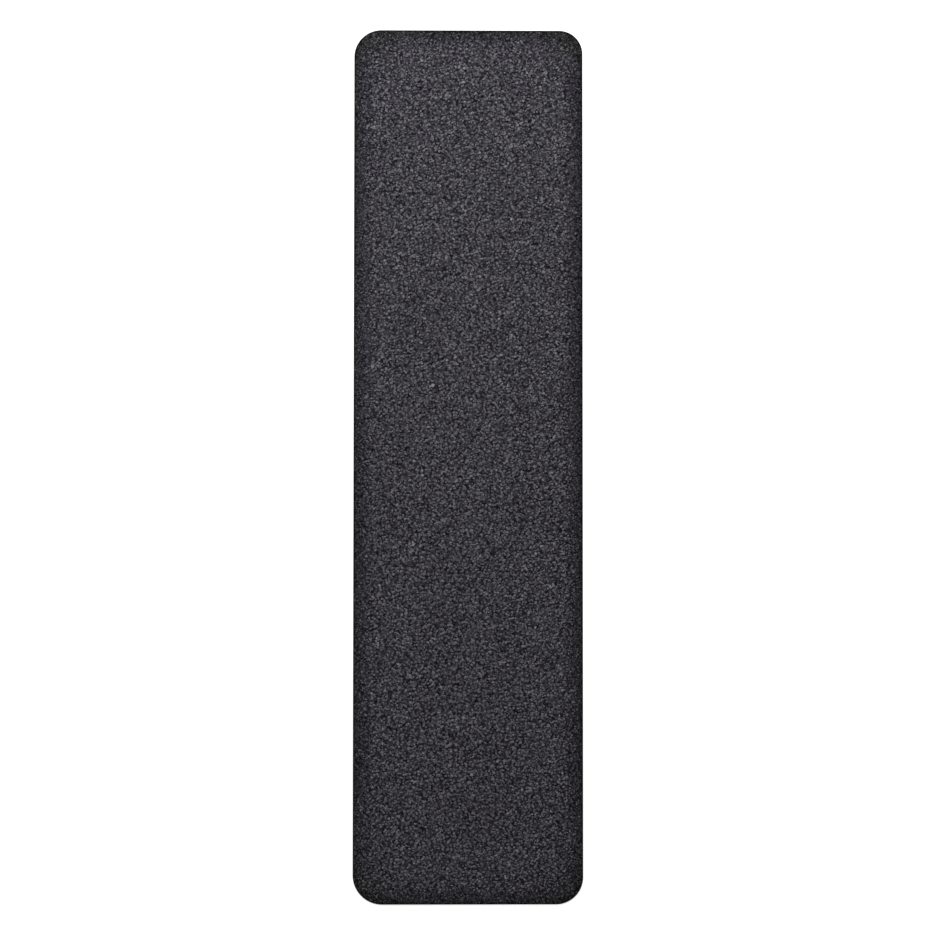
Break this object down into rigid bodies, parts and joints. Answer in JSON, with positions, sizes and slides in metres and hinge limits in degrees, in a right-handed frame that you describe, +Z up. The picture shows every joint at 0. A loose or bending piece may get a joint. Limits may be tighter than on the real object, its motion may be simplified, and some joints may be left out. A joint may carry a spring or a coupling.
{
  "type": "anti-slip tape strip",
  "caption": "Flat self-adhesive strip with rounded corners and a coarse mineral-grit face, for sticking to a stair tread, step or ramp.",
  "frame": {"origin": "middle of the strip's outline, on the adhesive underside", "axes": "+Y along the strip's length, +X across its width, +Z up out of the grit face"},
  "size_m": [0.15, 0.572, 0.0017],
  "materials": {
    "grit": "matte"
  },
  "bodies": {
    "root": {"grip_strip": "grit"}
  },
  "joints": []
}
